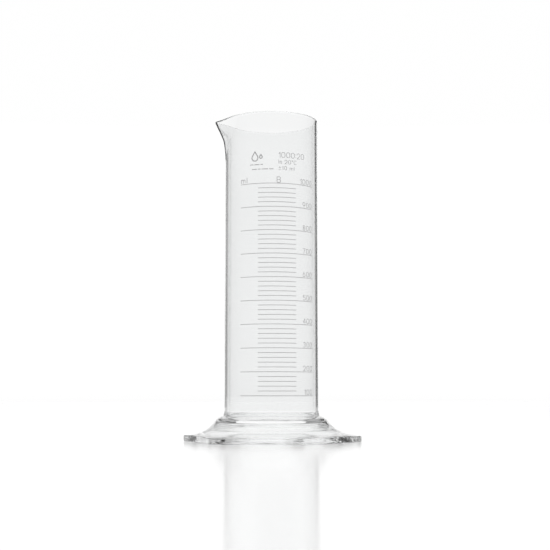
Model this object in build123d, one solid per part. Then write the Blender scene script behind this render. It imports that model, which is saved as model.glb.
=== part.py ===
from build123d import *
import math
import os

# Low-form laboratory measuring cylinder, 1000 ml in steps of 20 ml.
# A clear borosilicate tube with a pouring lip is closed by a rounded bottom cup,
# which is fused into a pressed hexagonal foot that is hollow underneath.
# The scale is fired enamel printed on the outside of the tube.
#
# Frame: +Z is up, the foot stands on Z = 0 and the tube's axis is the Z axis.
# The scale faces -Y and the pouring lip points along -X.  Millimetres throughout.

# ---- tube ----
TUBE_RADIUS = 42.0
WALL = 2.5
BORE_RADIUS = TUBE_RADIUS - WALL
TOTAL_HEIGHT = 288.0
RIM_ROUND = 1.1

# ---- pouring lip: the outline grows a rounded beak as it rises ----
LIP_START = 250.0
LIP_REACH = 10.3
LIP_TIP_RADIUS = 3.6
LIP_BEND = 45.0
LIP_SECTIONS = 5
LIP_LEAST = 0.04

# ---- bottom cup, the closed end of the tube ----
CUP_UNDERSIDE = 15.7
CUP_FLOOR = 19.7
CUP_TOP = 26.0
CUP_INNER_ROUND = 3.0
CORNER_CENTROID = 0.223

# ---- fused seam where the tube meets the foot ----
SEAM_WAIST_RADIUS = 42.9
SEAM_WAIST_Z = 22.1
SEAM_EDGE_RADIUS = 47.4
SEAM_SAG = 0.35

# ---- hexagonal foot ----
HEX_RADIUS = 80.7
HEX_TURN = 10.5
HEX_CORNER_ROUND = 6.0
PLATE_THICKNESS = 5.4
PLATE_TOP_ROUND = 1.4
PLATE_BOTTOM_ROUND = 0.8
SHOULDER_TOP = 20.0
SHOULDER_RADIUS = 47.6
SHOULDER_SIDE_RADIUS = 49.0
SHOULDER_SIDE_Z = 19.0
BELL_MEETS_PLATE = 77.0
BELL_EDGE_RADIUS = HEX_RADIUS * math.cos(math.radians(30)) - PLATE_TOP_ROUND - 0.1
HOLLOW_TOP_RADIUS = 47.5
HOLLOW_KNEE_RADIUS = 53.5
HOLLOW_KNEE_Z = 8.5
HOLLOW_MOUTH_RADIUS = 64.5

# ---- printed scale ----
INK = 0.1
NUMBERED_STEP_ML = 100
STEP_ML = 20
FIRST_ML = 100
CAPACITY_ML = 1000
LINE_WIDTH = 0.5
LONG_LINE_ANGLES = (-49.2, 48.8)
SHORT_LINE_ANGLES = (-25.7, 21.0)

# ---- printed characters ----
GRID_HEIGHT = 6.0
CHARACTER_GAP = 1.5
NUMERAL_HEIGHT = 4.7
NUMERAL_STROKE = 0.48
NUMERAL_RAISE = 0.7
NUMERAL_RIGHT_ANGLE = 47.2
GLYPH_SINK = 1.0


# ---------------------------------------------------------------- tube and lip
def lip_reach_at(z):
    """How far the lip stands out from the round tube at a height."""
    rise = z - LIP_START
    slope = math.tan(math.radians(22.5))
    bend_rise = LIP_BEND * slope
    straight_rise = TOTAL_HEIGHT - LIP_START - bend_rise
    bend_reach = LIP_REACH - slope * straight_rise
    if rise < bend_rise:
        return bend_reach * (rise / bend_rise) ** 2
    return bend_reach + slope * (rise - bend_rise)


def lip_outline(z, wall):
    """The tube's outline at a height: a circle drawn out to a rounded beak."""
    reach = max(lip_reach_at(z), LIP_LEAST)
    big = TUBE_RADIUS - wall
    tip = LIP_TIP_RADIUS - wall
    tip_x = -(TUBE_RADIUS - LIP_TIP_RADIUS + reach)
    touch = math.acos((big - tip) / -tip_x)
    side_x = -math.cos(touch)
    side_y = math.sin(touch)
    big_upper = (big * side_x, big * side_y)
    big_lower = (big * side_x, -big * side_y)
    tip_upper = (tip_x + tip * side_x, tip * side_y)
    tip_lower = (tip_x + tip * side_x, -tip * side_y)
    outline = [
        ThreePointArc(big_lower, (big, 0), big_upper),
        Line(big_upper, tip_upper),
        ThreePointArc(tip_upper, (tip_x - tip, 0), tip_lower),
        Line(tip_lower, big_lower),
    ]
    return Pos(0, 0, z) * make_face(outline)


def lipped_column(wall):
    """A solid column with the lip's shape, from where the lip starts to the rim."""
    rise = TOTAL_HEIGHT - LIP_START
    heights = [LIP_START + rise * i / LIP_SECTIONS for i in range(LIP_SECTIONS + 1)]
    return loft([lip_outline(z, wall) for z in heights])


def make_measuring_tube():
    """The straight wall with its pouring lip and rounded rim."""
    straight = LIP_START - CUP_TOP
    middle = Pos(0, 0, CUP_TOP + straight / 2)
    wall = middle * (Cylinder(TUBE_RADIUS, straight) - Cylinder(BORE_RADIUS, straight))
    lip = lipped_column(0.0) - lipped_column(WALL)
    rim = lip.faces().sort_by(Axis.Z)[-1].edges()
    return wall + fillet(rim, RIM_ROUND)


# ---------------------------------------------------------------- closed bottom
def make_bottom_cup():
    """The tube's closed end: a thick floor with a rounded inner corner."""
    cup = Pos(0, 0, (CUP_UNDERSIDE + CUP_TOP) / 2)
    cup = cup * Cylinder(TUBE_RADIUS, CUP_TOP - CUP_UNDERSIDE)
    bore_height = CUP_TOP - CUP_FLOOR
    bore = Cylinder(BORE_RADIUS, bore_height)
    bore = fillet(bore.edges().sort_by(Axis.Z)[0], CUP_INNER_ROUND)
    return cup - Pos(0, 0, CUP_FLOOR + bore_height / 2) * bore


def make_fused_seam():
    """The ring of glass drawn out between the tube and the foot's shoulder."""
    top = (TUBE_RADIUS, CUP_TOP)
    waist = (SEAM_WAIST_RADIUS, SEAM_WAIST_Z)
    edge = (SEAM_EDGE_RADIUS, SHOULDER_TOP)
    corner = (TUBE_RADIUS, SHOULDER_TOP)
    outline = [
        SagittaArc(top, waist, SEAM_SAG),
        Line(waist, edge),
        Line(edge, corner),
        Line(corner, top),
    ]
    return revolve(Plane.XZ * make_face(outline), Axis.Z)


# ---------------------------------------------------------------- foot
def hexagon_block(height):
    """A hexagonal block with rounded corners.  The foot is fused on by hand, so its
    corners are turned a little from the line through the lip and the scale."""
    block = extrude(RegularPolygon(HEX_RADIUS, 6, rotation=30 + HEX_TURN), height)
    return fillet(block.edges().filter_by(Axis.Z), HEX_CORNER_ROUND)


def trumpet_profile():
    """Half section of the foot's outside: shoulder, trumpet curve and plate."""
    beyond = HEX_RADIUS + 5
    fall = SHOULDER_SIDE_Z - PLATE_THICKNESS
    run = BELL_MEETS_PLATE - SHOULDER_SIDE_RADIUS
    curve = (run * run + fall * fall) / (2 * fall)
    half_turn = math.atan2(run, curve - fall) / 2
    middle = (
        BELL_MEETS_PLATE - curve * math.sin(half_turn),
        PLATE_THICKNESS + curve * (1 - math.cos(half_turn)),
    )
    shoulder = (SHOULDER_RADIUS, SHOULDER_TOP)
    side = (SHOULDER_SIDE_RADIUS, SHOULDER_SIDE_Z)
    plate = (BELL_MEETS_PLATE, PLATE_THICKNESS)
    outline = [
        Polyline((0, 0), (0, SHOULDER_TOP), shoulder),
        SagittaArc(shoulder, side, -SEAM_SAG),
        ThreePointArc(side, middle, plate),
        Polyline(plate, (beyond, PLATE_THICKNESS), (beyond, 0), (0, 0)),
    ]
    return Plane.XZ * make_face(outline)


def hollow_profile():
    """Half section of the recess pressed into the foot from underneath."""
    points = [
        (0, 0),
        (HOLLOW_MOUTH_RADIUS, 0),
        (HOLLOW_KNEE_RADIUS, HOLLOW_KNEE_Z),
        (HOLLOW_TOP_RADIUS, CUP_UNDERSIDE),
        (0, CUP_UNDERSIDE),
    ]
    return Plane.XZ * make_face(Polyline(*points, close=True))


def make_hexagonal_foot():
    """The pressed foot: a hexagonal plate rising to a round hollow bell."""
    plate = hexagon_block(PLATE_THICKNESS)
    plate = fillet(plate.faces().sort_by(Axis.Z)[-1].edges(), PLATE_TOP_ROUND)
    plate = fillet(plate.faces().sort_by(Axis.Z)[0].edges(), PLATE_BOTTOM_ROUND)
    bell = revolve(trumpet_profile(), Axis.Z) & Cylinder(BELL_EDGE_RADIUS, 2 * SHOULDER_TOP)
    foot = plate + bell - revolve(hollow_profile(), Axis.Z)
    socket_height = SHOULDER_TOP - CUP_UNDERSIDE
    socket = Cylinder(TUBE_RADIUS, socket_height)
    return foot - Pos(0, 0, CUP_UNDERSIDE + socket_height / 2) * socket


# ---------------------------------------------------------------- scale lines
def scale_height(millilitres):
    """Height at which the bore holds a volume, measured from the cup's floor."""
    bore_area = math.pi * BORE_RADIUS * BORE_RADIUS
    lost = CUP_INNER_ROUND * CUP_INNER_ROUND * (1 - math.pi / 4)
    centroid = BORE_RADIUS - CORNER_CENTROID * CUP_INNER_ROUND
    corner_volume = lost * 2 * math.pi * centroid
    return CUP_FLOOR + (millilitres * 1000 + corner_volume) / bore_area


def printed_line(height, angles):
    """One line of enamel round the tube, between two angles from its front."""
    left, right = angles
    place = Pos(TUBE_RADIUS + INK / 2, height)
    section = Plane.XZ * (place * Rectangle(INK, LINE_WIDTH))
    return Rot(0, 0, left - 90) * revolve(section, Axis.Z, right - left)


def make_long_lines():
    """The ten numbered lines, one for every 100 ml."""
    marks = range(FIRST_ML, CAPACITY_ML + 1, NUMBERED_STEP_ML)
    return [printed_line(scale_height(ml), LONG_LINE_ANGLES) for ml in marks]


def make_short_lines():
    """The lines for every 20 ml between the numbered ones."""
    marks = range(FIRST_ML, CAPACITY_ML, STEP_ML)
    between = [ml for ml in marks if ml % NUMBERED_STEP_ML]
    return [printed_line(scale_height(ml), SHORT_LINE_ANGLES) for ml in between]


# ---------------------------------------------------------------- characters
# Every character is drawn on a grid six units high.  A stroke is either a
# straight line (x1, y1, x2, y2) or an arc (x, y, radius, start angle, sweep).
STROKES = {
    "0": [(2, 4, 2, 0, 180), (0, 4, 0, 2), (2, 2, 2, 180, 180), (4, 2, 4, 4)],
    "1": [(0, 4.6, 1.5, 6), (1.5, 6, 1.5, 0)],
    "2": [(2, 4.1, 1.9, -40, 215), (3.46, 2.88, 0.2, 0), (0.2, 0, 3.9, 0)],
    "3": [(2, 4.5, 1.5, -90, 245), (2, 1.5, 1.5, -155, 245)],
    "4": [(3, 0, 3, 6), (3, 6, 0, 1.7), (0, 1.7, 4, 1.7)],
    "5": [(3.6, 6, 0.7, 6), (0.7, 6, 0.5, 3.2), (2, 1.95, 1.95, -140, 280)],
    "6": [(2, 1.9, 1.9, 0, 360), (0.35, 2.85, 2.2, 6)],
    "7": [(0.2, 6, 3.9, 6), (3.9, 6, 1.4, 0)],
    "8": [(2, 4.5, 1.5, 0, 360), (2, 1.55, 1.6, 0, 360)],
    "9": [(2, 4.1, 1.9, 0, 360), (3.65, 3.15, 1.8, 0)],
    "B": [
        (0, 0, 0, 6),
        (0, 6, 2.2, 6),
        (2.2, 4.5, 1.5, -90, 180),
        (0, 3, 2.2, 3),
        (2.2, 1.5, 1.5, -90, 180),
        (0, 0, 2.2, 0),
    ],
    "C": [(2, 4, 2, 35, 145), (0, 4, 0, 2), (2, 2, 2, 180, 145)],
    "I": [(0, 0, 0, 6)],
    "l": [(0, 0, 0, 6)],
    "n": [(0, 0, 0, 4), (1.3, 2.7, 1.3, 0, 180), (2.6, 2.7, 2.6, 0)],
    "m": [
        (0, 0, 0, 4),
        (1.4, 2.6, 1.4, 0, 180),
        (2.8, 2.6, 2.8, 0),
        (4.2, 2.6, 1.4, 0, 180),
        (5.6, 2.6, 5.6, 0),
    ],
    "drop": [(2, 2, 2, 150, 240), (3.732, 3, 2, 6), (0.268, 3, 2, 6)],
    "degree": [(0.9, 5.1, 0.9, 0, 360)],
    "plus-minus": [(1.7, 5.4, 1.7, 2.0), (0, 3.7, 3.4, 3.7), (0, 0.3, 3.4, 0.3)],
    ":": [(0, 4.2, 0, 4.3), (0, 1.2, 0, 1.3)],
    "space": [],
}
ADVANCE = {
    "1": 1.5,
    "B": 3.7,
    "I": 0.0,
    "l": 0.0,
    "n": 2.6,
    "m": 5.6,
    "degree": 1.8,
    "plus-minus": 3.4,
    ":": 0.0,
    "space": 1.0,
}
USUAL_ADVANCE = 4.0


def stroke_shape(stroke, unit, thickness):
    """One stroke of a character as a flat shape with round ends."""
    if len(stroke) == 4:
        x1, y1, x2, y2 = [unit * value for value in stroke]
        length = math.hypot(x2 - x1, y2 - y1)
        turn = math.degrees(math.atan2(y2 - y1, x2 - x1))
        middle = Pos((x1 + x2) / 2, (y1 + y2) / 2)
        return middle * Rot(0, 0, turn) * SlotCenterToCenter(length, thickness)
    x, y, radius = [unit * value for value in stroke[:3]]
    start, sweep = stroke[3:]
    if sweep == 360:
        ring = Circle(radius + thickness / 2) - Circle(radius - thickness / 2)
        return Pos(x, y) * ring
    return SlotArc(CenterArc((x, y), radius, start, sweep), thickness)


def character(name, height, thickness):
    """A whole character as one flat shape, its lower left corner at the origin."""
    unit = (height - thickness) / GRID_HEIGHT
    shape = Sketch()
    for stroke in STROKES[name]:
        shape += stroke_shape(stroke, unit, thickness)
    return Pos(0, thickness / 2) * shape


def wrap_on_tube(flat, angle, height):
    """Lay a flat shape on the outside of the tube as a thin coat of enamel."""
    block = extrude(flat, 2 * GLYPH_SINK)
    block = Plane.XZ * Pos(0, height, TUBE_RADIUS - GLYPH_SINK) * block
    block = Rot(0, 0, angle) * block
    coat_height = TOTAL_HEIGHT
    coat = Cylinder(TUBE_RADIUS + INK, coat_height) - Cylinder(TUBE_RADIUS, coat_height)
    return (block & (Pos(0, 0, coat_height / 2) * coat)).solids()


def advance_of(name, height, thickness):
    """Width taken by a character, without the gap that follows it."""
    unit = (height - thickness) / GRID_HEIGHT
    return ADVANCE.get(name, USUAL_ADVANCE) * unit + thickness


def line_of_print(names, left_angle, base, height, thickness, squeeze=1.0):
    """A row of characters running to the right from an angle round the tube."""
    unit = (height - thickness) / GRID_HEIGHT
    solids = []
    along = 0.0
    for name in names:
        width = advance_of(name, height, thickness)
        centre = along + width / 2
        angle = left_angle + math.degrees(centre / TUBE_RADIUS)
        if STROKES[name]:
            flat = Pos(thickness / 2 - width / 2, 0) * character(name, height, thickness)
            solids += wrap_on_tube(flat, angle, base)
        along += width + CHARACTER_GAP * unit * squeeze
    return solids


def print_angle(names, height, thickness, squeeze=1.0):
    """Angle round the tube taken up by a row of characters."""
    unit = (height - thickness) / GRID_HEIGHT
    widths = [advance_of(name, height, thickness) for name in names]
    length = sum(widths) + CHARACTER_GAP * unit * squeeze * (len(names) - 1)
    return math.degrees(length / TUBE_RADIUS)


def make_numeral(millilitres):
    """The number that stands on the right-hand end of a long line."""
    names = list(str(millilitres))
    left = NUMERAL_RIGHT_ANGLE - print_angle(names, NUMERAL_HEIGHT, NUMERAL_STROKE)
    base = scale_height(millilitres) + NUMERAL_RAISE
    return line_of_print(names, left, base, NUMERAL_HEIGHT, NUMERAL_STROKE)


# ---------------------------------------------------------------- small print
# Each row: its characters, the angle of its left end from the tube's front, its
# base line's height, the characters' height and stroke, and the gap between them.
TOP_LINE = scale_height(CAPACITY_ML)
UNIT_ROW = (["m", "l"], -48.6, TOP_LINE + 0.9, 4.9, 0.5, 1.3)
CLASS_ROW = (["B"], -3.2, TOP_LINE + 0.35, 5.5, 0.5, 1.0)
CAPACITY_ROW = (list("1000:20"), -1.0, 246.3, 5.1, 0.5, 0.75)
TEMPERATURE_ROW = (["I", "n", "space", "2", "0", "degree", "C"], -1.0, 240.9, 3.8, 0.42, 0.8)
TOLERANCE_ROW = (["plus-minus", "1", "0", "space", "m", "l"], -1.0, 235.5, 3.5, 0.4, 1.1)
LARGE_DROP_ROW = (["drop"], -34.0, 243.2, 9.2, 0.95, 1.0)
SMALL_DROP_ROW = (["drop"], -24.4, 245.4, 4.4, 0.9, 1.0)
DASH_HEIGHT = 0.7
DASH_GAP = 0.9
UPPER_DASHES = (-36.0, 240.1, (3.4, 4.6, 2.2))
LOWER_DASHES = (-33.3, 236.0, (4.6, 2.4, 5.6, 3.9))


def row_of_dashes(left_angle, base, lengths):
    """Plain bars in a row, standing for a line of very small print."""
    solids = []
    along = 0.0
    for length in lengths:
        centre = along + length / 2
        angle = left_angle + math.degrees(centre / TUBE_RADIUS)
        bar = Pos(0, DASH_HEIGHT / 2) * Rectangle(length, DASH_HEIGHT)
        solids += wrap_on_tube(bar, angle, base)
        along += length + DASH_GAP
    return solids


# ---------------------------------------------------------------- writing
def write(name, shape):
    """Write one node as its own STEP file, several solids as a group."""
    solids = shape if isinstance(shape, list) else shape.solids()
    whole = solids[0] if len(solids) == 1 else Compound(children=list(solids))
    export_step(whole, os.path.join("parts", name + ".step"))


os.makedirs("parts", exist_ok=True)
write("measuring_tube", make_measuring_tube())
write("bottom_cup", make_bottom_cup())
write("fused_seam", make_fused_seam())
write("hexagonal_foot", make_hexagonal_foot())
write("long_scale_lines", make_long_lines())
write("short_scale_lines", make_short_lines())
for volume in range(FIRST_ML, CAPACITY_ML + 1, NUMBERED_STEP_ML):
    write("numeral_" + str(volume), make_numeral(volume))
write("unit_mark", line_of_print(*UNIT_ROW))
write("class_mark", line_of_print(*CLASS_ROW))
write("capacity_mark", line_of_print(*CAPACITY_ROW))
write("temperature_mark", line_of_print(*TEMPERATURE_ROW))
write("tolerance_mark", line_of_print(*TOLERANCE_ROW))
write("drop_emblem", line_of_print(*LARGE_DROP_ROW) + line_of_print(*SMALL_DROP_ROW))
write("plain_dash_rows", row_of_dashes(*UPPER_DASHES) + row_of_dashes(*LOWER_DASHES))
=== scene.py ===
# Looks for the low-form measuring cylinder: one seamless body of clear glass,
# the fired enamel print on it, and a bright studio around it.
# Lengths named below are in millimetres; objects are built in metres.

import math

import bmesh
import bpy
import numpy as np
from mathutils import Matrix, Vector


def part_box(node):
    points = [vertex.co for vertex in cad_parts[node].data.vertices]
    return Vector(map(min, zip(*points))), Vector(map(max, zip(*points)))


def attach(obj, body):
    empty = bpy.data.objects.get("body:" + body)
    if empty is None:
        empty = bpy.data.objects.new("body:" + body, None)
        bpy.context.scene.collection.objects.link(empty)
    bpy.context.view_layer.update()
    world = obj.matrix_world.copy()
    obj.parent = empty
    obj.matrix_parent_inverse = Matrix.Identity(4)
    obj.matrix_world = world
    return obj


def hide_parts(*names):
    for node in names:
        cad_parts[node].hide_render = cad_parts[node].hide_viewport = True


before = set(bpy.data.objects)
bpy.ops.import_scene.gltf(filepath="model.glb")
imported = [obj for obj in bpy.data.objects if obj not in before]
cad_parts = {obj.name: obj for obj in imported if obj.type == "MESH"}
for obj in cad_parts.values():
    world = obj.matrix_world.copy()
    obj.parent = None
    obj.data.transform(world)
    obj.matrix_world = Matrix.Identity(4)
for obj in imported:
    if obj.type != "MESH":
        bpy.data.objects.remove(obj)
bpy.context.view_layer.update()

MM = 0.001


def box_mm(node):
    """A CAD node's lowest and highest corners in millimetres."""
    low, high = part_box(node)
    return [v / MM for v in low], [v / MM for v in high]


# ---- sizes read from the frame ----
cup_low, cup_high = box_mm("bottom_cup")
tube_low, tube_high = box_mm("measuring_tube")
seam_low, seam_high = box_mm("fused_seam")
foot_low, foot_high = box_mm("hexagonal_foot")

TUBE_RADIUS = tube_high[0]
RIM_Z = tube_high[2]
LIP_TIP_X = tube_low[0]
CUP_UNDERSIDE = cup_low[2]
SEAM_TOP = seam_high[2]
SHOULDER_Z = foot_high[2]

# ---- sizes that go with them ----
WALL = 2.5
BORE_RADIUS = TUBE_RADIUS - WALL
FLOOR_THICKNESS = 4.0
FLOOR_Z = CUP_UNDERSIDE + FLOOR_THICKNESS
FLOOR_CORNER = 3.0
CORNER_CENTROID = 0.223

LIP_START = 250.0
LIP_ANGLE = math.radians(22.5)
LIP_BEND = 45.0
LIP_TIP_RADIUS = 3.6
LIP_DIP = 1.6
LIP_DIP_SPREAD = 30.0
LIP_DIP_HEIGHT = 16.0
LIP_DIP_INNER = BORE_RADIUS - 5.0

PLATE_THICKNESS = 5.4
HEX_CORNER = 6.0
HEX_TURN = math.radians(10.5)
PLATE_TOP_ROUND = 1.4
PLATE_BOTTOM_ROUND = 0.8
BELL_SIDE = (49.0, 19.0)
BELL_MEETS_PLATE = 77.0
FLANK_OUTER = 66.0
FLANK_INNER = 50.6

# Corners of the glass's outline, each (radius, height, rounding): the hollow under
# the foot from the cup outwards, and the seam from the shoulder up to the tube.
CUP_UNDERSIDE_RADIUS = 40.0
FLAT_UNDERSIDE_RADIUS = 66.5
HOLLOW = (
    (47.5, CUP_UNDERSIDE, 2.2),
    (53.5, 8.5, 4.0),
    (64.5, 0.0, 1.5),
)
SEAM_CORNERS = (
    (47.8, SHOULDER_Z + 0.3, 2.0),
    (42.8, SHOULDER_Z + 2.2, 0.3),
    (TUBE_RADIUS, SHOULDER_Z + 6.0, 5.0),
    (TUBE_RADIUS, SHOULDER_Z + 12.0, 0),
)

# The turned hexagon's widest points are on the rounded corners nearest +X, so its
# flats' distance from the axis follows from the foot's box.
HALF_SECTOR = math.pi / 6
CORNER_SPOT = (foot_high[0] - HEX_CORNER) / math.cos(HALF_SECTOR - HEX_TURN)
HEX_APOTHEM = CORNER_SPOT * math.cos(HALF_SECTOR) + HEX_CORNER

AROUND = 480


# ---------------------------------------------------------------- helpers
def material(name):
    """A new node material with its shader and output, ready for more nodes."""
    made = bpy.data.materials.new(name)
    made.use_nodes = True
    return made, made.node_tree, made.node_tree.nodes["Principled BSDF"]


def rounded_path(corners, steps=7):
    """A line through corners (r, z, rounding), each rounded off by an arc."""
    path = []
    for i, (r, z, rounding) in enumerate(corners):
        here = Vector((r, z))
        if rounding == 0 or i in (0, len(corners) - 1):
            path.append((r, z))
            continue
        back = (Vector(corners[i - 1][:2]) - here).normalized()
        ahead = (Vector(corners[i + 1][:2]) - here).normalized()
        half = math.acos(max(-1, min(1, back.dot(ahead)))) / 2
        reach = rounding / math.tan(half)
        centre = here + (back + ahead).normalized() * (rounding / math.sin(half))
        start = here + back * reach - centre
        turn = start.angle_signed(here + ahead * reach - centre)
        for k in range(steps + 1):
            angle = -turn * k / steps
            c, s = math.cos(angle), math.sin(angle)
            x = start.x * c - start.y * s
            y = start.x * s + start.y * c
            path.append((centre.x + x, centre.y + y))
    return path


def smooth_step(t):
    """Goes from 0 to 1 with flat ends."""
    t = np.clip(t, 0, 1)
    return t * t * (3 - 2 * t)


# ---------------------------------------------------------------- glass outline
azimuth = np.arange(AROUND) * 2 * math.pi / AROUND
from_lip = np.abs(azimuth - math.pi)


def lip_reach(z):
    """How far the lip stands out from the round tube at a height."""
    full = -LIP_TIP_X - TUBE_RADIUS
    slope = math.tan(LIP_ANGLE)
    bend_rise = LIP_BEND * slope
    bend_reach = full - slope * (RIM_Z - LIP_START - bend_rise)
    rise = max(z - LIP_START, 0.0)
    if rise < bend_rise:
        return bend_reach * (rise / bend_rise) ** 2
    return bend_reach + slope * (rise - bend_rise)


def tube_outline(z, inset):
    """Distance of the tube's surface from the axis, all round, with the lip."""
    big = TUBE_RADIUS - inset
    reach = lip_reach(z)
    if reach < 1e-6:
        return np.full(AROUND, big)
    tip = LIP_TIP_RADIUS - inset
    centre = TUBE_RADIUS - LIP_TIP_RADIUS + reach
    touch = math.acos((big - tip) / centre)
    tip_edge = math.atan2(tip * math.sin(touch), centre + tip * math.cos(touch))
    side = big / np.cos(np.clip(touch - from_lip, 0, touch))
    under = np.clip(tip * tip - (centre * np.sin(from_lip)) ** 2, 0, None)
    beak = centre * np.cos(from_lip) + np.sqrt(under)
    outline = np.where(from_lip < touch, side, big)
    return np.where(from_lip < tip_edge, beak, outline)


def hexagon_outline(inset):
    """Distance of the plate's rounded hexagon from the axis, all round."""
    apothem = HEX_APOTHEM - inset
    corner = HEX_CORNER - inset
    from_flat = np.abs((azimuth - HEX_TURN + HALF_SECTOR) % (2 * HALF_SECTOR) - HALF_SECTOR)
    to_corner = HALF_SECTOR - from_flat
    flat = apothem / np.cos(from_flat)
    corner_edge = math.atan2(
        corner * math.sin(HALF_SECTOR), CORNER_SPOT + corner * math.cos(HALF_SECTOR)
    )
    under = np.clip(corner * corner - (CORNER_SPOT * np.sin(to_corner)) ** 2, 0, None)
    arc = CORNER_SPOT * np.cos(to_corner) + np.sqrt(under)
    return np.where(to_corner < corner_edge, arc, flat)


def trumpet_height(radius):
    """Height of the bell's curved flank above the bench at a radius."""
    side_r, side_z = BELL_SIDE
    run = BELL_MEETS_PLATE - side_r
    fall = side_z - PLATE_THICKNESS
    curve = (run * run + fall * fall) / (2 * fall)
    out = np.clip(BELL_MEETS_PLATE - radius, 0, None)
    return PLATE_THICKNESS + curve - np.sqrt(curve * curve - out * out)


def glass_rows():
    """Rings of the glass body from the middle of the cup's underside, out over
    the foot, up the tube, over the rim and down the bore to the floor's middle."""
    ones = np.ones(AROUND)
    rows = []

    def ring(radius, z):
        rows.append((radius * ones, z * ones))

    # under the floor and down the hollow of the foot
    for radius in (12, 26, 38, CUP_UNDERSIDE_RADIUS):
        ring(radius, CUP_UNDERSIDE)
    start = (CUP_UNDERSIDE_RADIUS, CUP_UNDERSIDE, 0)
    under = rounded_path([start, *HOLLOW, (FLAT_UNDERSIDE_RADIUS, 0, 0)])
    for radius, z in under[1:]:
        ring(radius, z)

    # flat underside out to the edge of the plate
    low_edge = hexagon_outline(PLATE_BOTTOM_ROUND)
    for share in (0.3, 0.7, 0.97):
        radius = FLAT_UNDERSIDE_RADIUS + (low_edge - FLAT_UNDERSIDE_RADIUS) * share
        rows.append((radius, 0 * ones))
    for k in range(6):
        turn = math.pi / 2 * k / 5
        inset = PLATE_BOTTOM_ROUND * (1 - math.sin(turn))
        rows.append((hexagon_outline(inset), PLATE_BOTTOM_ROUND * (1 - math.cos(turn)) * ones))

    # upright edge, then its rounded top, which meets the trumpet curve
    top_edge = hexagon_outline(PLATE_TOP_ROUND)
    lift = trumpet_height(top_edge)
    for k in range(8):
        turn = math.pi / 2 * k / 7
        inset = PLATE_TOP_ROUND * (1 - math.cos(turn))
        rows.append((hexagon_outline(inset), lift - PLATE_TOP_ROUND * (1 - math.sin(turn))))
    for share in (0.03, 0.15, 0.35, 0.6, 0.85):
        radius = top_edge + (FLANK_OUTER - top_edge) * share
        rows.append((radius, trumpet_height(radius)))

    # trumpet flank, shoulder and the fused seam up to the tube
    for radius in np.linspace(FLANK_OUTER, FLANK_INNER, 22):
        ring(radius, trumpet_height(radius))
    start = (FLANK_INNER, float(trumpet_height(FLANK_INNER)), 0)
    for radius, z in rounded_path([start, *SEAM_CORNERS])[1:]:
        ring(radius, z)

    # straight wall, lip and rounded rim
    for z in np.linspace(SEAM_TOP + 20, LIP_START - 2, 12):
        ring(TUBE_RADIUS, z)
    half = WALL / 2
    for z in np.linspace(LIP_START, RIM_Z - half, 20):
        rows.append((tube_outline(z, 0), z * ones))
    for k in range(1, 10):
        turn = math.pi * k / 10
        z = RIM_Z - half + half * math.sin(turn)
        rows.append((tube_outline(z, half * (1 - math.cos(turn))), z * ones))
    for z in np.linspace(RIM_Z - half, LIP_START, 20):
        rows.append((tube_outline(z, WALL), z * ones))

    # bore, rounded corner and floor
    for z in np.linspace(LIP_START - 2, FLOOR_Z + FLOOR_CORNER + 1, 13):
        ring(BORE_RADIUS, z)
    for k in range(9):
        turn = math.pi / 2 * k / 8
        ring(
            BORE_RADIUS - FLOOR_CORNER * (1 - math.cos(turn)),
            FLOOR_Z + FLOOR_CORNER * (1 - math.sin(turn)),
        )
    for radius in (34, 26, 12):
        ring(radius, FLOOR_Z)
    return rows


def dip_lip(radius, z):
    """The tip of the lip droops a little below the rim."""
    near_tip = smooth_step(1 - np.degrees(from_lip) / LIP_DIP_SPREAD)
    near_rim = smooth_step(1 - (RIM_Z - z) / LIP_DIP_HEIGHT)
    return z - LIP_DIP * near_tip * near_rim * (radius > LIP_DIP_INNER)


def glass_body():
    """The whole glass as one closed skin."""
    rows = glass_rows()
    points = [(0, 0, CUP_UNDERSIDE)]
    for radius, z in rows:
        z = dip_lip(radius, z)
        points += list(zip(radius * np.cos(azimuth), radius * np.sin(azimuth), z))
    points.append((0, 0, FLOOR_Z))
    faces = []
    last = len(points) - 1
    for i in range(AROUND):
        j = (i + 1) % AROUND
        faces.append((0, 1 + j, 1 + i))
        for row in range(len(rows) - 1):
            a = 1 + row * AROUND
            b = a + AROUND
            faces.append((a + i, a + j, b + j, b + i))
        end = 1 + (len(rows) - 1) * AROUND
        faces.append((end + i, end + j, last))
    mesh = bpy.data.meshes.new("glass_body")
    mesh.from_pydata([tuple(MM * v for v in p) for p in points], [], faces)
    body = bpy.data.objects.new("glass_body", mesh)
    bpy.context.collection.objects.link(body)
    tidy = bmesh.new()
    tidy.from_mesh(mesh)
    bmesh.ops.recalc_face_normals(tidy, faces=tidy.faces)
    tidy.to_mesh(mesh)
    tidy.free()
    mesh.polygons.foreach_set("use_smooth", [True] * len(mesh.polygons))
    weighted = body.modifiers.new("weighted_normals", "WEIGHTED_NORMAL")
    weighted.keep_sharp = False
    return body


# ---------------------------------------------------------------- glass material
GLASS_TINT = (0.945, 0.95, 0.95)
GLASS_INDEX = 1.473
RIPPLE_SCALE = 45.0
RIPPLE_STRETCH = 0.12
RIPPLE_STRENGTH = 0.03
RIPPLE_DEPTH = 0.002


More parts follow.
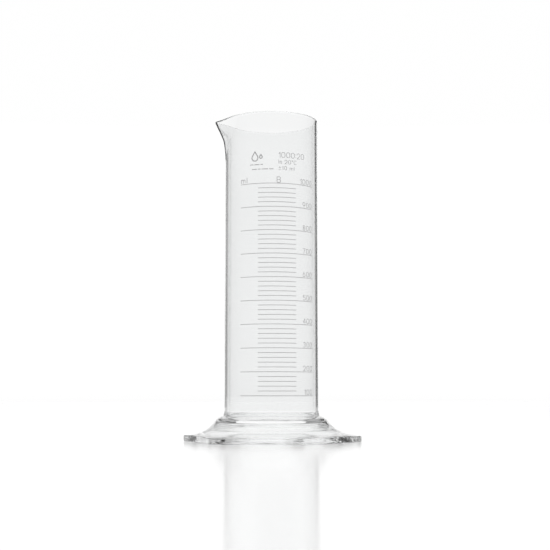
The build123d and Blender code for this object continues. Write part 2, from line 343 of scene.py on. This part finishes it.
def glass_material():
    """Clear borosilicate glass with faint ripples drawn out along the tube."""
    made, tree, shader = material("borosilicate_glass")
    shader.inputs["Base Color"].default_value = (*GLASS_TINT, 1)
    shader.inputs["Roughness"].default_value = 0.0
    shader.inputs["IOR"].default_value = GLASS_INDEX
    shader.inputs["Transmission Weight"].default_value = 1.0
    place = tree.nodes.new("ShaderNodeTexCoord")
    stretch = tree.nodes.new("ShaderNodeMapping")
    stretch.inputs["Scale"].default_value = (1.0, 1.0, RIPPLE_STRETCH)
    ripples = tree.nodes.new("ShaderNodeTexNoise")
    ripples.inputs["Scale"].default_value = RIPPLE_SCALE
    ripples.inputs["Detail"].default_value = 1.0
    bump = tree.nodes.new("ShaderNodeBump")
    bump.inputs["Strength"].default_value = RIPPLE_STRENGTH
    bump.inputs["Distance"].default_value = RIPPLE_DEPTH
    link = tree.links.new
    link(place.outputs["Object"], stretch.inputs["Vector"])
    link(stretch.outputs["Vector"], ripples.inputs["Vector"])
    link(ripples.outputs["Fac"], bump.inputs["Height"])
    link(bump.outputs["Normal"], shader.inputs["Normal"])
    return made


# ---------------------------------------------------------------- enamel print
INK_HEIGHT = 0.07
INK_SINK = 0.02
FIRST_ML = 100
STEP_ML = 20
CAPACITY_ML = 1000
NUMBERED_ML = 100
LINE_WIDTH = 0.5
LONG_LINE_ANGLES = (-49.2, 48.8)
SHORT_LINE_ANGLES = (-25.7, 21.0)
ACROSS_STEP = 0.8
ALONG_STEP = 0.7
ARC_STEP = 0.25
BAND_FOOT_SPREAD = 1.08
BLUNT_END = 0.15
ROUND_END_SHARES = (0, 0.08, 0.3, 0.6)


def scale_height(millilitres):
    """Height at which the bore holds a volume, measured from the floor."""
    area = math.pi * BORE_RADIUS * BORE_RADIUS
    lost = FLOOR_CORNER * FLOOR_CORNER * (1 - math.pi / 4)
    corner = lost * 2 * math.pi * (BORE_RADIUS - CORNER_CENTROID * FLOOR_CORNER)
    return FLOOR_Z + (millilitres * 1000 + corner) / area


def on_tube(x, y, proud):
    """A point of the flat print (x round the tube, y up) laid on the glass."""
    radius = TUBE_RADIUS + proud
    turn = x / TUBE_RADIUS
    return (radius * math.sin(turn) * MM, -radius * math.cos(turn) * MM, y * MM)


def lay_band(bm, middles, sides, halves, closed=False):
    """A raised band of enamel: middles is its centre line, sides the unit
    vectors across it, halves its half width at each point."""
    count = max(2, 1 + math.ceil(2 * max(halves) / ACROSS_STEP))
    rings = []
    for (x, y), (sx, sy), half in zip(middles, sides, halves):
        ring = []
        for k in range(count):
            t = half * (2 * k / (count - 1) - 1)
            ring.append(bm.verts.new(on_tube(x + sx * t, y + sy * t, INK_HEIGHT)))
        for k in reversed(range(count)):
            t = half * (2 * k / (count - 1) - 1) * BAND_FOOT_SPREAD
            ring.append(bm.verts.new(on_tube(x + sx * t, y + sy * t, -INK_SINK)))
        rings.append(ring)
    pairs = list(zip(rings, rings[1:] + rings[:1]))
    for a, b in pairs if closed else pairs[:-1]:
        for k in range(2 * count):
            n = (k + 1) % (2 * count)
            bm.faces.new((a[k], a[n], b[n], b[k]))
    if not closed:
        bm.faces.new(rings[0])
        bm.faces.new(reversed(rings[-1]))


def round_end(distance, half):
    """Half width of a stroke near its end, so that the end is round."""
    short = max(half - distance, 0)
    return max(math.sqrt(max(half * half - short * short, 0)), BLUNT_END * half)


def straight_stroke(bm, start, end, width):
    """A straight stroke with round ends, from point to point."""
    half = width / 2
    run = Vector(end) - Vector(start)
    along = run.normalized() if run.length > 1e-6 else Vector((0, 1))
    length = run.length + width
    cap = [half * share for share in ROUND_END_SHARES]
    body = max(1, round((length - width) / ALONG_STEP))
    places = cap + [half + (length - width) * k / body for k in range(body + 1)]
    places += [length - d for d in reversed(cap)]
    origin = Vector(start) - along * half
    middles = [origin + along * d for d in places]
    halves = [round_end(min(d, length - d), half) for d in places]
    side = (along.y, -along.x)
    lay_band(bm, middles, [side] * len(places), halves)


def arc_stroke(bm, centre, radius, start, sweep, width):
    """A stroke along an arc, in degrees, with round ends or a closed ring."""
    half = width / 2
    closed = sweep == 360
    spare = 0 if closed else math.degrees(half / radius)
    steps = max(8, round(math.radians(sweep) * radius / ARC_STEP))
    if closed:
        angles = [start + sweep * k / steps for k in range(steps)]
        halves = [half] * steps
    else:
        ends = [spare * share for share in ROUND_END_SHARES]
        angles = [start - spare + e for e in ends]
        angles += [start + sweep * k / steps for k in range(steps + 1)]
        angles += [start + sweep + spare - e for e in reversed(ends)]
        low, high = angles[0], angles[-1]
        to_length = math.radians(1) * radius
        halves = [round_end(min(a - low, high - a) * to_length, half) for a in angles]
    sides = [(math.cos(math.radians(a)), math.sin(math.radians(a))) for a in angles]
    middles = [(centre[0] + radius * c, centre[1] + radius * s) for c, s in sides]
    lay_band(bm, middles, sides, halves, closed)


# Every character is drawn on a grid six units high.  A stroke is either a
# straight line (x1, y1, x2, y2) or an arc (x, y, radius, start angle, sweep).
STROKES = {
    "0": [(2, 4, 2, 0, 180), (0, 4, 0, 2), (2, 2, 2, 180, 180), (4, 2, 4, 4)],
    "1": [(0, 4.6, 1.5, 6), (1.5, 6, 1.5, 0)],
    "2": [(2, 4.1, 1.9, -40, 215), (3.46, 2.88, 0.2, 0), (0.2, 0, 3.9, 0)],
    "3": [(2, 4.5, 1.5, -90, 245), (2, 1.5, 1.5, -155, 245)],
    "4": [(3, 0, 3, 6), (3, 6, 0, 1.7), (0, 1.7, 4, 1.7)],
    "5": [(3.6, 6, 0.7, 6), (0.7, 6, 0.5, 3.2), (2, 1.95, 1.95, -140, 280)],
    "6": [(2, 1.9, 1.9, 0, 360), (0.35, 2.85, 2.2, 6)],
    "7": [(0.2, 6, 3.9, 6), (3.9, 6, 1.4, 0)],
    "8": [(2, 4.5, 1.5, 0, 360), (2, 1.55, 1.6, 0, 360)],
    "9": [(2, 4.1, 1.9, 0, 360), (3.65, 3.15, 1.8, 0)],
    "B": [
        (0, 0, 0, 6),
        (0, 6, 2.2, 6),
        (2.2, 4.5, 1.5, -90, 180),
        (0, 3, 2.2, 3),
        (2.2, 1.5, 1.5, -90, 180),
        (0, 0, 2.2, 0),
    ],
    "C": [(2, 4, 2, 35, 145), (0, 4, 0, 2), (2, 2, 2, 180, 145)],
    "I": [(0, 0, 0, 6)],
    "l": [(0, 0, 0, 6)],
    "n": [(0, 0, 0, 4), (1.3, 2.7, 1.3, 0, 180), (2.6, 2.7, 2.6, 0)],
    "m": [
        (0, 0, 0, 4),
        (1.4, 2.6, 1.4, 0, 180),
        (2.8, 2.6, 2.8, 0),
        (4.2, 2.6, 1.4, 0, 180),
        (5.6, 2.6, 5.6, 0),
    ],
    "drop": [(2, 2, 2, 150, 240), (3.732, 3, 2, 6), (0.268, 3, 2, 6)],
    "degree": [(0.9, 5.1, 0.9, 0, 360)],
    "plus-minus": [(1.7, 5.4, 1.7, 2.0), (0, 3.7, 3.4, 3.7), (0, 0.3, 3.4, 0.3)],
    ":": [(0, 4.2, 0, 4.3), (0, 1.2, 0, 1.3)],
    "space": [],
}
ADVANCE = {
    "1": 1.5,
    "B": 3.7,
    "I": 0.0,
    "l": 0.0,
    "n": 2.6,
    "m": 5.6,
    "degree": 1.8,
    "plus-minus": 3.4,
    ":": 0.0,
    "space": 1.0,
}
USUAL_ADVANCE = 4.0
CHARACTER_GAP = 1.5
GRID_HEIGHT = 6.0


def row_length(names, height, width, squeeze):
    """Length of a row of characters along the tube's surface."""
    unit = (height - width) / GRID_HEIGHT
    widths = [ADVANCE.get(name, USUAL_ADVANCE) * unit + width for name in names]
    return sum(widths) + CHARACTER_GAP * unit * squeeze * (len(names) - 1)


def lay_row(bm, names, left, base, height, width, squeeze=1.0):
    """A row of characters; left and base are millimetres on the flat print."""
    unit = (height - width) / GRID_HEIGHT
    x = left
    for name in names:
        corner = Vector((x + width / 2, base + width / 2))
        for stroke in STROKES[name]:
            if len(stroke) == 4:
                start = corner + unit * Vector(stroke[:2])
                end = corner + unit * Vector(stroke[2:])
                straight_stroke(bm, start, end, width)
            else:
                centre = corner + unit * Vector(stroke[:2])
                arc_stroke(bm, centre, unit * stroke[2], stroke[3], stroke[4], width)
        advance = ADVANCE.get(name, USUAL_ADVANCE) * unit + width
        x += advance + CHARACTER_GAP * unit * squeeze


def round_tube(angle):
    """Distance along the tube's surface from its front, for an angle."""
    return math.radians(angle) * TUBE_RADIUS


def enamel_piece(name, draw):
    """One printed piece, drawn into its own mesh, in place of its CAD node."""
    bm = bmesh.new()
    draw(bm)
    bmesh.ops.recalc_face_normals(bm, faces=bm.faces)
    mesh = bpy.data.meshes.new(name + "_print")
    bm.to_mesh(mesh)
    bm.free()
    piece = bpy.data.objects.new(name + "_print", mesh)
    bpy.context.collection.objects.link(piece)
    mesh.materials.append(ENAMEL)
    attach(piece, "root")
    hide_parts(name)


def scale_lines(bm, marks, angles):
    """Lines round the front of the tube at the given volumes."""
    left, right = [round_tube(angle) for angle in angles]
    for ml in marks:
        z = scale_height(ml)
        start = (left + LINE_WIDTH / 2, z)
        straight_stroke(bm, start, (right - LINE_WIDTH / 2, z), LINE_WIDTH)


NUMERAL_HEIGHT = 4.7
NUMERAL_STROKE = 0.48
NUMERAL_RAISE = 0.7
NUMERAL_RIGHT_ANGLE = 47.2


def numeral(bm, millilitres):
    """The number on the right-hand end of a long line."""
    names = list(str(millilitres))
    length = row_length(names, NUMERAL_HEIGHT, NUMERAL_STROKE, 1.0)
    left = round_tube(NUMERAL_RIGHT_ANGLE) - length
    base = scale_height(millilitres) + NUMERAL_RAISE
    lay_row(bm, names, left, base, NUMERAL_HEIGHT, NUMERAL_STROKE)


# Each row: its characters, the angle of its left end from the tube's front, its
# base line's height, the characters' height and stroke, and the gap between them.
TOP_LINE = scale_height(CAPACITY_ML)
PRINT_ROWS = {
    "unit_mark": [(["m", "l"], -48.6, TOP_LINE + 0.9, 4.9, 0.5, 1.3)],
    "class_mark": [(["B"], -3.2, TOP_LINE + 0.35, 5.5, 0.5, 1.0)],
    "capacity_mark": [(list("1000:20"), -1.0, 246.3, 5.1, 0.5, 0.75)],
    "temperature_mark": [
        (["I", "n", "space", "2", "0", "degree", "C"], -1.0, 240.9, 3.8, 0.42, 0.8)
    ],
    "tolerance_mark": [
        (["plus-minus", "1", "0", "space", "m", "l"], -1.0, 235.5, 3.5, 0.4, 1.1)
    ],
    "drop_emblem": [
        (["drop"], -34.0, 243.2, 9.2, 0.95, 1.0),
        (["drop"], -24.4, 245.4, 4.4, 0.9, 1.0),
    ],
}
DASH_HEIGHT = 0.7
DASH_GAP = 0.9
DASH_ROWS = (
    (-36.0, 240.1, (3.4, 4.6, 2.2)),
    (-33.3, 236.0, (4.6, 2.4, 5.6, 3.9)),
)


def print_rows(bm, rows):
    """Rows of characters, each given by the numbers in PRINT_ROWS."""
    for names, left_angle, base, height, width, squeeze in rows:
        lay_row(bm, names, round_tube(left_angle), base, height, width, squeeze)


def dash_rows(bm):
    """Two rows of plain bars under the emblem."""
    half = DASH_HEIGHT / 2
    for left_angle, base, lengths in DASH_ROWS:
        x = round_tube(left_angle)
        for length in lengths:
            steps = math.ceil(length / ALONG_STEP)
            middles = [(x + length * k / steps, base + half) for k in range(steps + 1)]
            lay_band(bm, middles, [(0, 1)] * (steps + 1), [half] * (steps + 1))
            x += length + DASH_GAP


# The enamel is white. Both greys are painted shade for the light it blocks from the bright
# screen behind it, and the mottle between them is its own uneven tone.
ENAMEL_SHADED_DARK = (0.54, 0.54, 0.54, 1)
ENAMEL_SHADED_LIGHT = (0.68, 0.68, 0.68, 1)
ENAMEL_ROUGHNESS = 0.42
ENAMEL_GRAIN = 900.0
ENAMEL_GRAIN_DEPTH = 0.00005


def enamel_material():
    """Fired enamel: white enamel painted pale grey as shade for the bright screen it hides, a
    little uneven, with a satin surface.
    """
    made, tree, shader = material("fired_enamel")
    shader.inputs["Roughness"].default_value = ENAMEL_ROUGHNESS
    place = tree.nodes.new("ShaderNodeTexCoord")
    cloud = tree.nodes.new("ShaderNodeTexNoise")
    cloud.inputs["Scale"].default_value = ENAMEL_GRAIN
    cloud.inputs["Detail"].default_value = 3.0
    shade = tree.nodes.new("ShaderNodeValToRGB")
    shade.color_ramp.elements[0].position = 0.3
    shade.color_ramp.elements[0].color = ENAMEL_SHADED_DARK
    shade.color_ramp.elements[1].position = 0.7
    shade.color_ramp.elements[1].color = ENAMEL_SHADED_LIGHT
    bump = tree.nodes.new("ShaderNodeBump")
    bump.inputs["Strength"].default_value = 0.25
    bump.inputs["Distance"].default_value = ENAMEL_GRAIN_DEPTH
    link = tree.links.new
    link(place.outputs["Object"], cloud.inputs["Vector"])
    link(cloud.outputs["Fac"], shade.inputs["Fac"])
    link(shade.outputs["Color"], shader.inputs["Base Color"])
    link(cloud.outputs["Fac"], bump.inputs["Height"])
    link(bump.outputs["Normal"], shader.inputs["Normal"])
    return made


# ---------------------------------------------------------------- studio
CAMERA_DISTANCE = 981.0
CAMERA_HEIGHT = 41.7
CAMERA_AZIMUTH = -9.6
CAMERA_PITCH = 6.186
CAMERA_YAW = -0.184
CAMERA_ROLL = 0.04
CAMERA_LENS = 71.88

# The studio goes round the object with the camera: a bright screen opposite the
# lens and a dark flag at each side of it.
SCREEN_DISTANCE = 5.0
FLAG_DISTANCE = 2.5
PANEL_BOTTOM = -2.2
PANEL_TOP = 4.0
PANEL_STEPS = 12
SCREEN_EDGE = 22.0
FLAG_EDGE = 34.0
# Height above the line of sight in metres, and the screen's brightness there.
SCREEN_GLOW = (
    (-0.8, 0.94),
    (-0.6, 1.01),
    (-0.35, 1.02),
    (0.0, 1.02),
    (0.4, 1.02),
    (0.745, 1.03),
    (0.805, 0.998),
)
LEFT_FLAG_GLOW = 0.25
RIGHT_FLAG_GLOW = 0.0
FLOOR_POLISH = 0.8
FLOOR_ROUGHNESS = 0.15
FLOOR_GLOW = 0.29
FLOOR_GLOW_FAR = 0.28
FLOOR_GLOW_FADE = (0.8, 2.0)
FLOOR_WHITE = (0.9, 0.9, 0.9, 1)
FLOOR_REACH = 12.0
FLOOR_DROP = 0.00005
SKY_GLOW = 0.5
OVERHEAD_SIZE = 3.0
OVERHEAD_HEIGHT = 2.2
OVERHEAD_POWER = 22.0
# Light goes back and forth many times inside the thick glass of the foot.
GLASS_BOUNCES = 40
POLISH_BOUNCES = 12


def make_camera():
    """Looks at the front of the scale from a little to its left, from low down."""
    data = bpy.data.cameras.new("camera")
    data.sensor_width = 36.0
    data.lens = CAMERA_LENS
    data.clip_end = 100.0
    camera = bpy.data.objects.new("camera", data)
    bpy.context.collection.objects.link(camera)
    side = math.radians(CAMERA_AZIMUTH)
    camera.location = (
        CAMERA_DISTANCE * math.sin(side) * MM,
        -CAMERA_DISTANCE * math.cos(side) * MM,
        CAMERA_HEIGHT * MM,
    )
    camera.rotation_euler = (
        math.radians(90 + CAMERA_PITCH),
        math.radians(CAMERA_ROLL),
        side + math.radians(CAMERA_YAW),
    )
    bpy.context.scene.camera = camera
    return camera


def emission(name, strength):
    """A plain light-giving surface.  A list of strengths gives a brightness that
    changes with height on the panel."""
    made = bpy.data.materials.new(name)
    made.use_nodes = True
    tree = made.node_tree
    tree.nodes.clear()
    glow = tree.nodes.new("ShaderNodeEmission")
    out = tree.nodes.new("ShaderNodeOutputMaterial")
    tree.links.new(glow.outputs["Emission"], out.inputs["Surface"])
    if isinstance(strength, float):
        glow.inputs["Strength"].default_value = strength
        return made
    place = tree.nodes.new("ShaderNodeTexCoord")
    parts = tree.nodes.new("ShaderNodeSeparateXYZ")
    curve = tree.nodes.new("ShaderNodeFloatCurve")
    share = tree.nodes.new("ShaderNodeMapRange")
    low, high = strength[0][0], strength[-1][0]
    share.inputs["From Min"].default_value = low
    share.inputs["From Max"].default_value = high
    points = curve.mapping.curves[0].points
    top = max(glow_here for _, glow_here in strength)
    for k, (height, glow_here) in enumerate(strength):
        spot = ((height - low) / (high - low), glow_here / top)
        if k in (0, len(strength) - 1):
            points[0 if k == 0 else -1].location = spot
        else:
            points.new(*spot)
    curve.mapping.update()
    scale = tree.nodes.new("ShaderNodeMath")
    scale.operation = "MULTIPLY"
    scale.inputs[1].default_value = top
    link = tree.links.new
    link(place.outputs["Object"], parts.inputs["Vector"])
    link(parts.outputs["Y"], share.inputs["Value"])
    link(share.outputs["Result"], curve.inputs["Value"])
    link(curve.outputs["Value"], scale.inputs[0])
    link(scale.outputs["Value"], glow.inputs["Strength"])
    return made


def studio_panel(camera, name, distance, start, end, strength):
    """An upright strip behind or beside the object, between two angles from the
    line of sight, that stays with the camera."""
    bm = bmesh.new()
    rows = []
    for k in range(PANEL_STEPS + 1):
        angle = math.radians(start + (end - start) * k / PANEL_STEPS)
        x = distance * math.sin(angle)
        z = -CAMERA_DISTANCE * MM - distance * math.cos(angle)
        rows.append([bm.verts.new((x, y, z)) for y in (PANEL_BOTTOM, PANEL_TOP)])
    for (a, b), (c, d) in zip(rows, rows[1:]):
        bm.faces.new((a, c, d, b))
    mesh = bpy.data.meshes.new(name)
    bm.to_mesh(mesh)
    bm.free()
    panel = bpy.data.objects.new(name, mesh)
    bpy.context.collection.objects.link(panel)
    panel.parent = camera
    mesh.materials.append(emission(name + "_light", strength))


def make_studio(camera):
    """The screen and its two flags."""
    far, near = SCREEN_DISTANCE, FLAG_DISTANCE
    studio_panel(camera, "backdrop", far, -SCREEN_EDGE, SCREEN_EDGE, SCREEN_GLOW)
    studio_panel(camera, "left_flag", near, -FLAG_EDGE, -SCREEN_EDGE, LEFT_FLAG_GLOW)
    studio_panel(camera, "right_flag", near, SCREEN_EDGE, FLAG_EDGE, RIGHT_FLAG_GLOW)


def make_floor():
    """A pale polished table that fades into the backdrop."""
    far = FLOOR_REACH
    bm = bmesh.new()
    corners = [(-far, -far), (far, -far), (far, far), (-far, far)]
    bm.faces.new([bm.verts.new((x, y, -FLOOR_DROP)) for x, y in corners])
    mesh = bpy.data.meshes.new("floor")
    bm.to_mesh(mesh)
    bm.free()
    floor = bpy.data.objects.new("floor", mesh)
    bpy.context.collection.objects.link(floor)
    made = bpy.data.materials.new("floor_white")
    made.use_nodes = True
    tree = made.node_tree
    tree.nodes.clear()
    matt = tree.nodes.new("ShaderNodeBsdfDiffuse")
    matt.inputs["Color"].default_value = FLOOR_WHITE
    polish = tree.nodes.new("ShaderNodeBsdfGlossy")
    polish.inputs["Roughness"].default_value = FLOOR_ROUGHNESS
    both = tree.nodes.new("ShaderNodeMixShader")
    both.inputs["Fac"].default_value = FLOOR_POLISH
    lift = tree.nodes.new("ShaderNodeEmission")
    place = tree.nodes.new("ShaderNodeTexCoord")
    distance = tree.nodes.new("ShaderNodeVectorMath")
    distance.operation = "LENGTH"
    fade = tree.nodes.new("ShaderNodeMapRange")
    fade.inputs["From Min"].default_value = FLOOR_GLOW_FADE[0]
    fade.inputs["From Max"].default_value = FLOOR_GLOW_FADE[1]
    fade.inputs["To Min"].default_value = FLOOR_GLOW
    fade.inputs["To Max"].default_value = FLOOR_GLOW_FAR
    tree.links.new(place.outputs["Object"], distance.inputs[0])
    tree.links.new(distance.outputs["Value"], fade.inputs["Value"])
    tree.links.new(fade.outputs["Result"], lift.inputs["Strength"])
    total = tree.nodes.new("ShaderNodeAddShader")
    out = tree.nodes.new("ShaderNodeOutputMaterial")
    tree.links.new(matt.outputs["BSDF"], both.inputs[1])
    tree.links.new(polish.outputs["BSDF"], both.inputs[2])
    tree.links.new(both.outputs["Shader"], total.inputs[0])
    tree.links.new(lift.outputs["Emission"], total.inputs[1])
    tree.links.new(total.outputs["Shader"], out.inputs["Surface"])
    mesh.materials.append(made)


def area_light(name, location, target, size, power):
    """A soft rectangular lamp aimed at a point."""
    data = bpy.data.lights.new(name, "AREA")
    data.shape = "RECTANGLE"
    data.size = size[0]
    data.size_y = size[1]
    data.energy = power
    lamp = bpy.data.objects.new(name, data)
    bpy.context.collection.objects.link(lamp)
    lamp.location = location
    aim = Vector(target) - Vector(location)
    lamp.rotation_euler = aim.to_track_quat("-Z", "Y").to_euler()


def make_world():
    """Soft even light from all round."""
    world = bpy.data.worlds.new("studio")
    bpy.context.scene.world = world
    world.use_nodes = True
    back = world.node_tree.nodes["Background"]
    back.inputs["Color"].default_value = (1, 1, 1, 1)
    back.inputs["Strength"].default_value = SKY_GLOW


# ---------------------------------------------------------------- build
GLASS = glass_material()
ENAMEL = enamel_material()

body = glass_body()
body.data.materials.append(GLASS)
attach(body, "root")
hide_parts("measuring_tube", "bottom_cup", "fused_seam", "hexagonal_foot")

long_marks = range(FIRST_ML, CAPACITY_ML + 1, NUMBERED_ML)
short_marks = [ml for ml in range(FIRST_ML, CAPACITY_ML, STEP_ML) if ml % NUMBERED_ML]
enamel_piece("long_scale_lines", lambda bm: scale_lines(bm, long_marks, LONG_LINE_ANGLES))
enamel_piece("short_scale_lines", lambda bm: scale_lines(bm, short_marks, SHORT_LINE_ANGLES))
for ml in long_marks:
    enamel_piece(f"numeral_{ml}", lambda bm: numeral(bm, ml))
for name, rows in PRINT_ROWS.items():
    enamel_piece(name, lambda bm: print_rows(bm, rows))
enamel_piece("plain_dash_rows", dash_rows)

camera = make_camera()
make_studio(camera)
make_floor()
make_world()
overhead = (0, 0, OVERHEAD_HEIGHT)
area_light("overhead", overhead, (0, 0, 0), (OVERHEAD_SIZE, OVERHEAD_SIZE), OVERHEAD_POWER)

bpy.context.scene.view_settings.view_transform = "Standard"
bpy.context.scene.cycles.max_bounces = GLASS_BOUNCES
bpy.context.scene.cycles.transmission_bounces = GLASS_BOUNCES
bpy.context.scene.cycles.glossy_bounces = POLISH_BOUNCES
